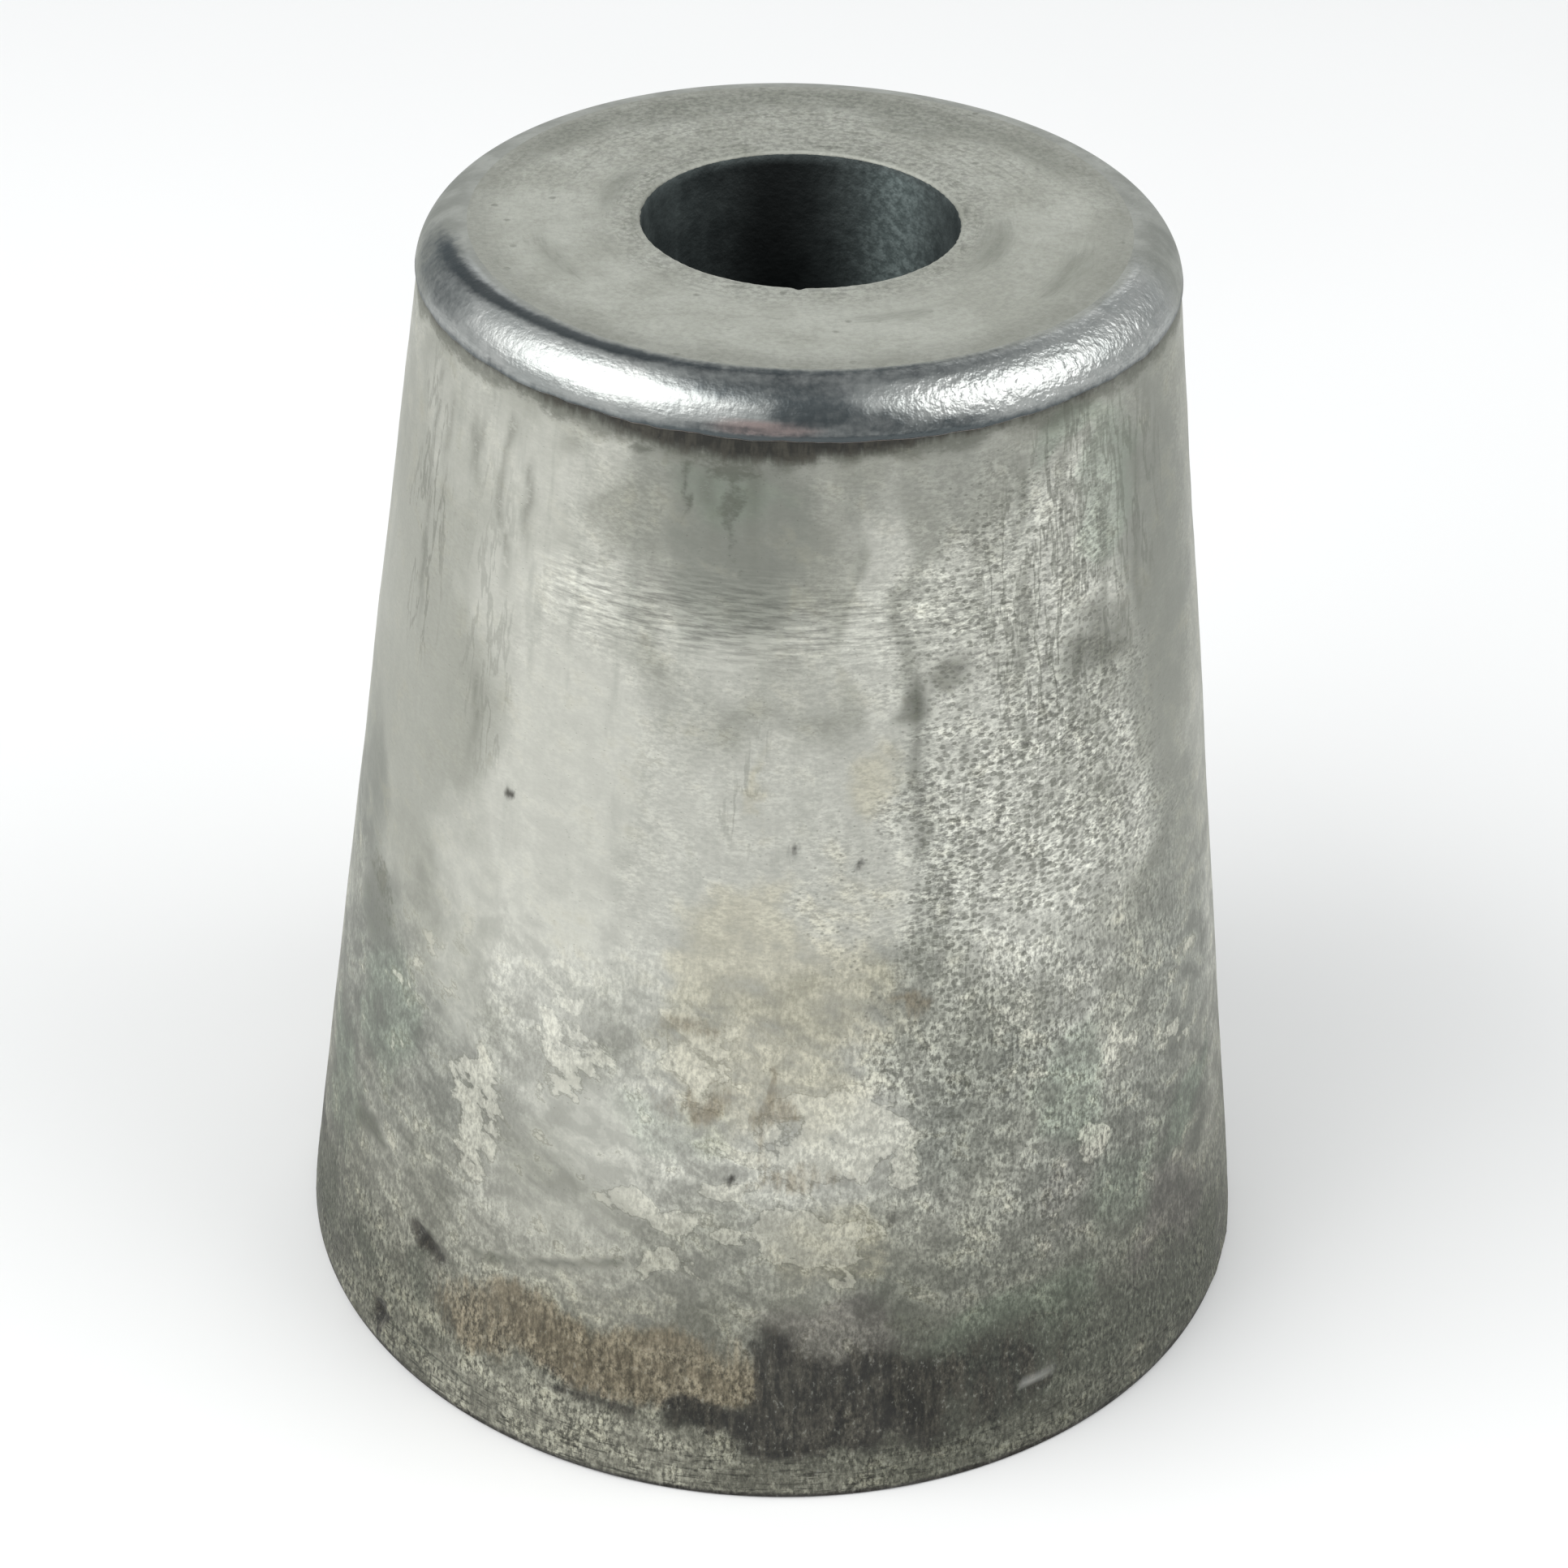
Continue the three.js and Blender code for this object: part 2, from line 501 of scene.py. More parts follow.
# How many ovals of each kind lie on the side away from the front, and the ranges of their place up the
# side, half their width, half their height and their strength.
BACK = {
    "coarse": (9, (8, 46), (12, 26), (6, 12), (0.3, 0.6)),
    "smooth": (8, (22, 50), (8, 20), (5, 14), (0.6, 1)),
    "paler_skin_and_painted_sheen": (12, (10, 50), (7, 16), (4, 12), (0.5, 0.9)),
    "darker_skin_and_painted_shade": (14, (3, 54), (8, 20), (3, 8), (0.4, 0.8)),
    "dark": (22, (3, 54), (2, 7), (0.4, 1.5), (0.25, 0.5)),
    "black": (5, (2, 6), (4, 12), (0.8, 2), (0.5, 0.9)),
    "brown": (9, (4, 26), (4, 12), (0.7, 1.7), (0.4, 0.8)),
    "pale": (18, (9, 27), (3, 9), (0.6, 3), (0.4, 0.8)),
    "green": (9, (4, 54), (5, 12), (1.5, 5), (0.4, 0.7)),
    "yellow": (7, (10, 40), (4, 12), (2, 4), (0.4, 0.7)),
    "cracked": (6, (34, 54), (5, 14), (5, 10), (0.6, 0.9)),
    "purple": (5, (3, 16), (5, 9), (1, 4.6), (0.4, 0.8)),
}


def scatter_back():
    """Seeded ovals for the side away from the camera."""
    draw = np.random.RandomState(41)
    scattered = {}
    for name, (count, levels, widths, heights, strengths) in BACK.items():
        rows = []
        for _ in range(count):
            angle = draw.uniform(88, 272)
            size = draw.uniform(0, 1)
            half_width = widths[0] + (widths[1] - widths[0]) * size
            half_height = heights[0] + (heights[1] - heights[0]) * size
            rows.append((angle, draw.uniform(*levels), half_width, half_height, draw.uniform(*strengths)))
        scattered[name] = rows
    return scattered


# ---------------- materials


def side_material():
    """Weathered cast zinc: mottled greys, runs from the rim, crusts, pits and stains, with painted sheen
    and painted shade over them.
    """
    n = Nodes("weathered_zinc")
    place = n.place()
    height = n.split(place)[2]
    coarse, paler_skin_and_painted_sheen, darker_skin_and_painted_shade = n.masks("skin")
    dark, black, brown = n.masks("stain_dark")
    pale, green, yellow = n.masks("stain_pale")
    purple, rubbed, cracked = n.masks("stain_rest")
    drip, scratch, smooth = n.masks("lines")

    clouds = n.noise(place, 0.16, detail=4, roughness=0.55)
    curd = n.noise(n.slant(place), 0.76, detail=6, roughness=0.61, distortion=0.25)
    tall = n.noise(n.stretch(place, 1, 1, 0.1), 0.8, detail=4, roughness=0.6)
    streaks = n.noise(n.stretch(place, 1, 1, 0.16), 2.2, detail=3, roughness=0.68)
    level = n.noise(n.stretch(place, 0.7, 0.7, 6.0), 1.0, detail=3, roughness=0.65)
    # The grain lies level on the upper half and stands upright on the lower
    level_grain = n.noise(n.stretch(place, 0.8, 0.8, 1.7), 3.6, detail=2, roughness=0.75)
    upright_grain = n.noise(n.stretch(place, 1.3, 1.3, 0.7), 3.6, detail=2, roughness=0.75)
    upper = n.step(height, 27, 34)
    grain = n.add(n.times(level_grain, upper), n.times(upright_grain, n.math("SUBTRACT", 1.0, upper)))
    fray = n.add(n.times(curd, 0.6), n.times(grain, 0.4))
    fuzz = n.add(n.times(streaks, 0.6), n.times(curd, 0.4))

    # Mottled grey skin, paler and darker by turns
    cloudy = n.swing(n.step(clouds, 0.34, 0.66), n.span(smooth, 1.0, 0.35))
    grey = n.mix(n.add(cloudy, 0.5), (0.318, 0.322, 0.277), (0.424, 0.427, 0.38))
    # Painted sheen where the side reflects the light, over skin that is paler
    colour = n.mix(n.times(n.ragged(paler_skin_and_painted_sheen, clouds, 1.2, 0.4), 0.74), grey, (0.595, 0.595, 0.538))
    # Painted shade and dark reflections, over skin that is darker
    colour = n.mix(n.times(n.ragged(darker_skin_and_painted_shade, clouds, 1.2, 0.4), 0.68), colour, (0.185, 0.195, 0.168))
    colour = n.mix(n.times(n.ragged(yellow, curd, 1.8, 0.4), 0.42), colour, (0.46, 0.42, 0.29))
    colour = n.mix(n.times(n.ragged(green, curd, 1.0, 0.34), 0.42), colour, (0.19, 0.25, 0.19))
    colour = n.mix(n.times(n.ragged(purple, curd, 1.0, 0.34), 0.42), colour, (0.2, 0.175, 0.178))

    # Curdled mottling: soft tones with crisp outlines, clearer towards the foot
    tone = n.times(n.step(curd, 0.36, 0.62), 0.4)
    for start, end in ((0.435, 0.455), (0.505, 0.525), (0.56, 0.575)):
        tone = n.add(tone, n.times(n.step(curd, start, end), 0.2))
    curdled = n.times(n.span(n.step(height, 40, 16), 0.12, 0.52), n.span(smooth, 1.0, 0.15))
    colour = n.vary(colour, n.swing(tone, curdled))

    # Runs that came down from the rim, and the fine cracks beside them
    runs = n.times(n.step(tall, 0.5, 0.7), n.step(height, 20, 50))
    colour = n.mix(n.times(runs, 0.34), colour, (0.23, 0.24, 0.21))
    bent = n.add(tall, n.swing(curd, 0.2))
    cracks = n.times(n.step(n.math("ABSOLUTE", n.add(bent, -0.5)), 0.04, 0.012), cracked)
    cracks = n.math("MAXIMUM", cracks, n.times(drip, n.step(fray, 0.34, 0.5)))
    colour = n.mix(n.times(cracks, 0.55), colour, (0.12, 0.125, 0.1))
    columns = n.swing(tall, n.span(coarse, 0.2, 0.85))
    colour = n.shade(colour, n.add(columns, n.span(coarse, 1.0, 1.1)))

    # Crust on the lower half: pale flakes with a thin dark outline
    low = n.step(height, 32, 22)
    crust = n.add(pale, n.swing(curd, 3.0))
    flakes = n.times(n.step(crust, 0.38, 0.48), low)
    outline = n.times(n.step(n.math("ABSOLUTE", n.add(crust, -0.34)), 0.08, 0.02), low)
    colour = n.mix(n.times(outline, 0.36), colour, (0.15, 0.15, 0.11))
    colour = n.mix(n.times(flakes, 0.46), colour, (0.56, 0.55, 0.465))

    # Everything is darker and yellower towards the foot
    colour = n.mix(n.step(height, 23, 3), colour, n.vector("MULTIPLY", colour, (0.5, 0.493, 0.443)))

    # Stains, drawn out upright at their edges. The dark and black masks also carry the painted shadow under
    # the rim.
    brown_tone = n.mix(n.step(streaks, 0.36, 0.64), (0.115, 0.09, 0.054), (0.215, 0.178, 0.118))
    colour = n.mix(n.times(n.stain(brown, fuzz, 2.4, 0.46), 0.7), colour, brown_tone)
    blotch_and_shadow = n.stain(dark, fray, 2.2, 0.28)
    colour = n.mix(n.times(blotch_and_shadow, 0.7), colour, (0.066, 0.071, 0.052))
    black_stain_and_shadow = n.stain(black, fuzz, 2.2, 0.4)
    black_stain_and_shadow_tone = n.mix(n.step(streaks, 0.38, 0.64), (0.008, 0.007, 0.005), (0.042, 0.038, 0.028))
    colour = n.mix(n.times(black_stain_and_shadow, 0.92), colour, black_stain_and_shadow_tone)

    # Upright streaks in the dirt at the foot
    colour = n.vary(colour, n.swing(streaks, n.step(height, 15, 5)))

    # The tooled band at the foot
    foot = n.step(n.add(height, n.times(clouds, 1.6)), 4.0, 2.9)
    dashes = n.step(level, 0.46, 0.36)
    colour = n.mix(n.times(n.times(foot, dashes), 0.7), colour, (0.045, 0.045, 0.036))
    # A thin painted shadow along the very bottom edge, where the foot meets the floor
    colour = n.mix(n.step(height, 0.5, 0.15), colour, (0.05, 0.047, 0.04))

    # A band of fine level marks above the middle
    marks = n.add(n.step(level, 0.5, 0.58), n.times(n.step(level, 0.46, 0.38), -0.9))
    colour = n.vary(colour, n.times(n.times(rubbed, marks), 0.3))

    # Grain: faint on the smooth skin, strong where it is coarse and towards the foot
    grit = n.add(n.times(coarse, 0.74), n.times(n.step(height, 36, 14), 0.26))
    grit = n.add(n.add(grit, 0.23), n.times(smooth, -0.8))
    grit = n.add(n.math("MAXIMUM", grit, 0.08), n.times(n.step(height, 12, 5), 0.65))
    grit = n.times(grit, n.span(n.step(curd, 0.42, 0.58), 0.65, 1.2))
    speckle = n.swing(n.step(grain, 0.32, 0.68), grit)
    colour = n.shade(colour, n.math("MAXIMUM", n.add(speckle, 1.0), 0.2))
    flecks = n.times(n.step(upright_grain, 0.6, 0.72), n.step(height, 14, 6))
    colour = n.mix(n.times(flecks, 0.3), colour, (0.36, 0.37, 0.33))
    colour = n.mix(n.times(scratch, 0.6), colour, (0.55, 0.55, 0.51))

    # Pits: dense on the coarse skin, a few elsewhere
    near_pit = n.cells(n.stretch(place, 1, 1, 1.4), 2.3)
    pit_edge = n.span(coarse, 0.06, 0.42)
    pits = n.step(n.math("SUBTRACT", near_pit, pit_edge), 0.08, -0.06)
    pits = n.times(pits, n.span(coarse, 0.5, 0.85))
    colour = n.mix(n.times(pits, 0.6), colour, (0.11, 0.115, 0.09))

    # Height of the skin, in millimetres
    relief = n.times(grain, n.span(coarse, 0.014, 0.05))
    relief = n.add(relief, n.times(pits, -0.04))
    tooled = n.times(n.step(height, 4.0, 2.6), 0.1)
    relief = n.add(relief, n.times(level, n.add(tooled, n.times(rubbed, 0.02))))

    stained = n.math("MAXIMUM", blotch_and_shadow, flakes)
    roughness = n.add(n.span(clouds, 0.46, 0.62), n.times(stained, 0.12))
    metallic = n.span(n.math("MAXIMUM", stained, black_stain_and_shadow), 0.62, 0.2)
    n.finish(colour, metallic, roughness, n.bump(relief))
    return n.material


def rim_material():
    """The rounded rim, rubbed bright in front, with painted dark reflections and a painted dark line of
    shade where it meets the top.
    """
    n = Nodes("polished_zinc")
    place = n.place()
    line, dark_reflection_and_shade, dull = n.masks("skin")
    pink = n.masks("stain_dark")[0]
    right = n.step(n.split(place)[0], 2, 6)
    clouds = n.noise(place, 0.45, detail=4, roughness=0.6)
    rubs = n.noise(n.stretch(place, 0.4, 0.4, 2.5), 1.6, detail=3, roughness=0.6)
    grain = n.noise(place, 2.6, detail=2, roughness=0.6)
    fray = n.add(n.times(clouds, 0.6), n.times(grain, 0.4))
    colour = n.mix(n.step(clouds, 0.35, 0.65), (0.4, 0.418, 0.405), (0.5, 0.512, 0.495))
    colour = n.mix(n.times(n.step(rubs, 0.5, 0.68), 0.3), colour, (0.27, 0.28, 0.27))
    colour = n.mix(n.times(pink, 0.62), colour, (0.47, 0.325, 0.3))
    worn = n.mix(n.step(clouds, 0.35, 0.65), (0.25, 0.26, 0.235), (0.35, 0.36, 0.33))
    colour = n.mix(n.ragged(dull, fray, 0.8, 0.4), colour, worn)
    # Painted dark reflections, and painted shade along the lower edge
    colour = n.mix(n.times(n.ragged(dark_reflection_and_shade, fray, 1.2, 0.42), 0.93), colour, (0.062, 0.076, 0.082))
    # The painted dark line of shade and dark reflection where the rim meets the top
    colour = n.mix(n.times(n.ragged(line, fray, 1.1, 0.38), 0.88), colour, (0.042, 0.054, 0.06))
    roughness = n.add(n.span(clouds, 0.28, 0.38), n.times(rubs, 0.08))
    roughness = n.add(roughness, n.times(dull, 0.25))
    relief = n.add(n.times(grain, n.span(right, 0.03, 0.085)), n.times(rubs, 0.02))
    n.finish(colour, n.span(dull, 0.95, 0.6), roughness, n.bump(relief))
    return n.material


def top_material():
    """The flat top: turned, then dulled."""
    n = Nodes("turned_zinc")
    place = n.place()
    x, y, _ = n.split(place)
    blotched, turning, shaded = n.masks("skin")
    radius = n.vector("LENGTH", n.join(x, y))
    clouds = n.noise(place, 0.3, detail=4, roughness=0.6)
    grain = n.noise(place, 3.4, detail=2, roughness=0.75)
    # Short marks that run round the face
    around = n.join(n.times(radius, 2.6), n.times(x, 0.5), n.times(y, 0.5))
    rings = n.noise(around, 1.0, detail=4, roughness=0.7)
    colour = n.mix(n.step(clouds, 0.34, 0.66), (0.325, 0.332, 0.288), (0.41, 0.418, 0.372))
    ring_line = n.times(n.step(rings, 0.48, 0.38), n.span(turning, 0.12, 0.62))
    colour = n.mix(ring_line, colour, (0.19, 0.2, 0.165))
    broken = n.add(n.times(rings, 0.6), n.times(grain, 0.4))
    colour = n.mix(n.times(n.ragged(blotched, broken, 2.6, 0.35), 0.5), colour, (0.15, 0.16, 0.13))
    colour = n.mix(n.times(shaded, 0.42), colour, (0.16, 0.165, 0.14))
    speckle = n.swing(n.step(grain, 0.32, 0.68), n.span(turning, 0.16, 0.5))
    colour = n.vary(colour, speckle)
    specks = n.step(n.cells(place, 0.8), 0.17, 0.06)
    specks = n.times(specks, n.step(clouds, 0.48, 0.58))
    colour = n.mix(n.times(specks, 0.5), colour, (0.12, 0.125, 0.1))
    relief = n.add(n.times(rings, 0.05), n.times(grain, 0.03))
    relief = n.add(relief, n.times(specks, -0.05))
    n.finish(colour, 0.5, n.span(clouds, 0.56, 0.7), n.bump(relief))
    return n.material


def bore_material():
    """The wall of the bore: slightly blue, painted dark as painted shade inside the bore, with a painted
    lit side and a painted shaded side.
    """
    n = Nodes("bore_zinc_painted_shade")
    place = n.place()
    clouds = n.noise(place, 0.4, detail=3, roughness=0.6)
    grain = n.noise(place, 2.4, detail=2, roughness=0.65)
    tall = n.noise(n.stretch(place, 1, 1, 0.15), 1.2, detail=2)
    pale, black, _ = n.masks("skin")
    # A dark base colour, painted shade inside the bore
    colour = n.mix(n.step(clouds, 0.35, 0.65), (0.052, 0.064, 0.064), (0.1, 0.12, 0.118))
    lit_wall_tone = n.mix(n.step(grain, 0.4, 0.65), (0.2, 0.25, 0.245), (0.33, 0.4, 0.39))
    # Painted light on the lit side of the wall (the pale mask)
    colour = n.mix(n.times(pale, 0.8), colour, lit_wall_tone)
    colour = n.mix(n.times(n.step(tall, 0.5, 0.7), 0.2), colour, (0.15, 0.18, 0.175))
    # Painted shade on the shaded side of the wall (the black mask)
    colour = n.mix(n.times(black, 0.93), colour, (0.012, 0.014, 0.014))
    colour = n.shade(colour, n.span(grain, 0.7, 1.3))
    n.finish(colour, 0.5, n.span(clouds, 0.48, 0.62), n.bump(n.times(grain, 0.06)))
    return n.material


def base_material():
    """The machined underside that bears on the nut, and the register in it."""
    n = Nodes("faced_zinc")
    place = n.place()
    x, y, height = n.split(place)
    radius = n.vector("LENGTH", n.join(x, y))
    clouds = n.noise(place, 0.2, detail=4, roughness=0.6)
    grain = n.noise(place, 2.6, detail=2, roughness=0.6)
    around = n.join(n.times(n.add(radius, height), 3.0), n.times(x, 0.15), n.times(y, 0.15))
    rings = n.noise(around, 1.0, detail=3, roughness=0.6)
    colour = n.mix(n.step(clouds, 0.35, 0.65), (0.34, 0.345, 0.315), (0.5, 0.5, 0.465))
    colour = n.mix(n.times(n.step(rings, 0.48, 0.36), 0.4), colour, (0.2, 0.205, 0.18))
    relief = n.add(n.times(rings, 0.06), n.times(grain, 0.02))
    n.finish(colour, 0.65, n.span(clouds, 0.42, 0.58), n.bump(relief))
    return n.material


def bush_material():
    """Turned steel with a film of oil and a little rust."""
    n = Nodes("turned_steel")
    place = n.place()
    x, y, height = n.split(place)
    radius = n.vector("LENGTH", n.join(x, y))
    clouds = n.noise(place, 0.5, detail=4, roughness=0.6)
    rings = n.noise(n.join(n.times(radius, 4.0), height, 0.0), 1.0, detail=2)
    rust = n.times(n.step(n.noise(place, 0.9, detail=4, roughness=0.65), 0.55, 0.7), 0.6)
    colour = n.mix(n.step(clouds, 0.35, 0.65), (0.33, 0.335, 0.34), (0.46, 0.465, 0.47))
    colour = n.mix(rust, colour, (0.2, 0.105, 0.055))
    roughness = n.add(n.span(clouds, 0.34, 0.46), n.times(rust, 0.4))
    n.finish(colour, n.span(rust, 1.0, 0.2), roughness, n.bump(n.times(rings, 0.03)))
    return n.material


# ---------------- meshes

COLUMNS = 440
STRIP_FILL = 0.985  # how much of its strip's height a band takes up in the texture square
TEXTURE_MARGIN = 0.002  # room at the left and right of the texture square


def spread(points, spacing):
    """Adds points along an outline, so that neighbours are no further apart than the spacing."""
    filled = [points[0]]
    for start, end in zip(points, points[1:]):
        pieces = max(1, math.ceil(math.dist(start, end) / spacing))
        for k in range(1, pieces + 1):
            share = k / pieces
            filled.append(tuple(a + (b - a) * share for a, b in zip(start, end)))
    return filled


def side_radius(height):
    return BASE_RADIUS - SLOPE * height


def side_between(low, high, spacing):
    return spread([(side_radius(low), low), (side_radius(high), high)], spacing)


def rim_arc(steps):
    """The rounded rim, from its lower edge to the flat top."""
    inset = (RIM_RADIUS * (1 - math.sin(TAPER)) - RIM_STEP) / math.cos(TAPER)
    centre = (TOP_RADIUS - inset, HEIGHT - RIM_RADIUS)
    points = []
    for k in range(steps + 1):
        turn = TAPER + (math.pi / 2 - TAPER) * k / steps
        points.append((centre[0] + RIM_RADIUS * math.cos(turn), centre[1] + RIM_RADIUS * math.sin(turn)))
    return points


def hexagon(flats):
    """The radius of a hexagon with corners on Y, as a function of the angle from -Y in radians."""
    sector = math.pi / 3

    def radius(turn):
        return flats / math.cos(turn % sector - sector / 2)

    return radius


def casting_bands():
    """The casting's outline as bands of (radius, height) points. Each starts where the one before ends."""
    rim = rim_arc(16)
    step_foot = rim[0][1] - RIM_STEP
    # The rings lie closer together on the tooled band and next to the rim
    heel_top, tooled_top, near_rim = 0.3, 3.5, 54.6
    side = side_between(heel_top, tooled_top, 0.27)
    side += side_between(tooled_top, near_rim, 0.45)[1:]
    side += side_between(near_rim, step_foot, 0.2)[1:]
    top = spread([rim[-1], (BORE_RADIUS + 0.25, HEIGHT)], 0.55)
    mouth = [top[-1], (BORE_RADIUS + 0.08, HEIGHT - 0.03), (BORE_RADIUS, HEIGHT - 0.15)]
    bore_foot = HEX_TOP + CAST_GAP
    bore = spread([mouth[-1], (BORE_RADIUS, HEIGHT - 8)], 0.6)
    bore += spread([bore[-1], (BORE_RADIUS, bore_foot)], 4.0)[1:]
    corners = hexagon(HEX_FLATS + CAST_GAP)
    pocket = [
        bore[-1],
        (corners, bore_foot),
        (corners, HEX_BOTTOM - CAST_GAP),
        (BOSS_RADIUS + CAST_GAP, HEX_BOTTOM - CAST_GAP),
        (BOSS_RADIUS + CAST_GAP, REGISTER_DEPTH),
    ]
    register = [
        pocket[-1],
        (BOSS_RADIUS + 2.5, REGISTER_DEPTH),
        (REGISTER_RADIUS - 0.3, REGISTER_DEPTH),
        (REGISTER_RADIUS, REGISTER_DEPTH - 0.3),
        (REGISTER_RADIUS, REGISTER_DEPTH / 2),
        (REGISTER_RADIUS, CHAMFER),
        (REGISTER_RADIUS + CHAMFER, 0),
    ]
    base = spread([register[-1], (BASE_RADIUS - 0.25, 0)], 1.2)
    return {
        "side": side,
        "rim": [side[-1], (rim[0][0] - 0.02, rim[0][1] - 0.05)] + rim,
        "top": top,
        "mouth": mouth,
        "bore": bore,
        "pocket": pocket,
        "register": register,
        "base": base,
        "heel": [base[-1], (BASE_RADIUS - 0.08, 0.08)],
    }


# Each band's material, the part of the texture square that it takes up (from, to), and into how many strips
# it is cut there.
CASTING_FINISH = {
    "side": (side_material, 0.2, 1.00, 2),
    "rim": (rim_material, 0.145, 0.195, 1),
    "top": (top_material, 0.085, 0.14, 1),
    "mouth": (top_material, 0.007, 0.01, 1),
    "bore": (bore_material, 0.011, 0.019, 1),
    "pocket": (bore_material, 0.02, 0.022, 1),
    "register": (base_material, 0.023, 0.028, 1),
    "base": (base_material, 0.03, 0.08, 1),
    "heel": (side_material, 0.000, 0.006, 1),
}


class Turned:
    """A closed turned mesh, built ring by ring. A ring's radius may be a function of the angle."""

    def __init__(self, columns):
        self.turns = np.linspace(-math.pi, math.pi, columns, endpoint=False)
        self.angle = np.degrees(self.turns)
        self.out = np.stack([np.sin(self.turns), -np.cos(self.turns), np.zeros(columns)], axis=-1)
        self.rings = []
        self.bands = {}

    def band(self, name, points):
        """Adds a band of rings. It starts on the last ring of the band before it."""
        first = max(0, len(self.rings) - 1)
        for radius, height in points[1:] if self.rings else points:
            if callable(radius):
                radius = np.array([radius(turn) for turn in self.turns])[:, None]
            self.rings.append(self.out * radius + np.array([0, 0, height]))
        self.bands[name] = (first, len(self.rings) - 1)

    def close(self, name):
        """Carries the last band on to the first ring."""
        self.bands[name] = (self.bands[name][0], len(self.rings))

    def rows(self, name):
        """The rings of a band, without the one that it shares with the band before."""
        first, last = self.bands[name]
        return slice(first + 1, last + 1)

    def points(self):
        return np.array(self.rings)

    def build(self, name, points, finish, masks):
        """Makes the Blender mesh, with its materials, its unwrapping in strips and its masks."""
        rows, columns, _ = points.shape
        index = np.arange(rows * columns).reshape(rows, columns)
        makers = list(dict.fromkeys(make for make, _, _, _ in finish.values()))
        faces, materials, places = [], [], []
        usable = 1 - 2 * TEXTURE_MARGIN
        for band, (first, last) in self.bands.items():
            make, low, high, strips = finish[band]
            tall = (high - low) / strips
            for row in range(first, last):
                below, above = ((row + k - first) / (last - first) * STRIP_FILL for k in (0, 1))
                upper = (row + 1) % rows
                for column in range(columns):
                    right = (column + 1) % columns
                    lower_edge = (index[row, column], index[row, right])
                    upper_edge = (index[upper, right], index[upper, column])
                    faces.append(lower_edge + upper_edge)
                    materials.append(makers.index(make))
                    strip = column * strips // columns
                    shares = ((column + k) * strips / columns - strip for k in (0, 1))
                    left, across = (TEXTURE_MARGIN + usable * share for share in shares)
                    v0, v1 = (low + tall * (strip + share) for share in (below, above))
                    places += [(left, v0), (across, v0), (across, v1), (left, v1)]
        mesh = bpy.data.meshes.new(name)
        mesh.from_pydata((points.reshape(-1, 3) * MM).tolist(), [], faces)
        mesh.polygons.foreach_set("material_index", materials)
        layer = mesh.uv_layers.new(name="OFBake")
        layer.uv.foreach_set("vector", np.array(places, np.float32).ravel())
        for mask_name, values in masks.items():
            attribute = mesh.attributes.new(mask_name, "FLOAT_VECTOR", "POINT")
            attribute.data.foreach_set("vector", values.astype(np.float32).ravel())
        for make in makers:
            mesh.materials.append(make())
        mesh.polygons.foreach_set("use_smooth", [True] * len(faces))
        mesh.update()
        return add_object(name, mesh)


# ---------------- the casting's surface


def fractal(points, size, octaves, seed):
    """Noise between about -1 and 1 at each point, with features of the given size in millimetres."""
    shift = Vector((seed * 17.3, seed * 5.1, seed * 9.7))
    flat = points.reshape(-1, 3) / size
    values = [noise.fractal(Vector(point) + shift, 1.0, 2.0, octaves) for point in flat]
    return np.array(values).reshape(points.shape[:-1])


def along_line(angle, height, start, end):
    """Distance in millimetres from each place to a line, and how far along it the nearest point is."""
    across = turn_between(angle, start[0]) * MM_PER_DEGREE
    up = height - start[1]
    run = turn_between(end[0], start[0]) * MM_PER_DEGREE
    rise = end[1] - start[1]
    share = unit((across * run + up * rise) / (run * run + rise * rise))
    return np.hypot(across - share * run, up - share * rise), share


def from_spot(angle, height, spot):
    """Distance in millimetres from each place to one spot."""
    return np.hypot(turn_between(angle, spot[0]) * MM_PER_DEGREE, height - spot[1])


# Cuts in the skin: start, end, width and depth. Each raises a small burr along its edges. A negative depth
# stands for a bright scratch that stands up.
GOUGES = [
    ((-47.5, 9.1), (-43.2, 8.5), 0.8, 0.3),
    ((-47, 8.6), (-44.5, 8.3), 0.5, 0.16),
    ((-53.2, 2.5), (-53.6, 1.5), 0.8, 0.35),
    ((31.2, 4.4), (34.9, 4.55), 0.34, -0.1),
    ((30.8, 4.1), (35, 4.15), 0.45, 0.12),
    ((-37.5, 10), (-17, 13), 0.55, 0.07),
    ((-25, 4.4), (-15.5, 4.2), 0.55, 0.1),
    ((6, 4.5), (9, 4.5), 0.5, 0.12),
    ((0.5, 3.2), (6, 3.1), 0.5, 0.1),
    ((-70, 2.2), (-36, 2.1), 0.5, 0.06),
    ((120, 20), (128, 23), 0.5, 0.07),
    ((-150, 34), (-146, 30), 0.5, 0.06),
    ((170, 8), (176, 8.6), 0.5, 0.08),
]
# Low round blisters in the cast skin: centre, radius and height.
BLISTERS = [
    ((-29, 52.5), 1.1, 0.05),
    ((58.8, 53.1), 1.1, 0.06),
    ((-59.5, 41), 0.6, 0.06),
    ((-53, 41), 0.5, 0.07),
    ((-50.3, 40.5), 0.5, 0.07),
    ((-64, 18), 0.6, 0.05),
    ((-54, 20.7), 1, 0.05),
    ((96, 44), 0.9, 0.06),
    ((141, 15), 1.1, 0.06),
    ((-118, 49), 1, 0.05),
]
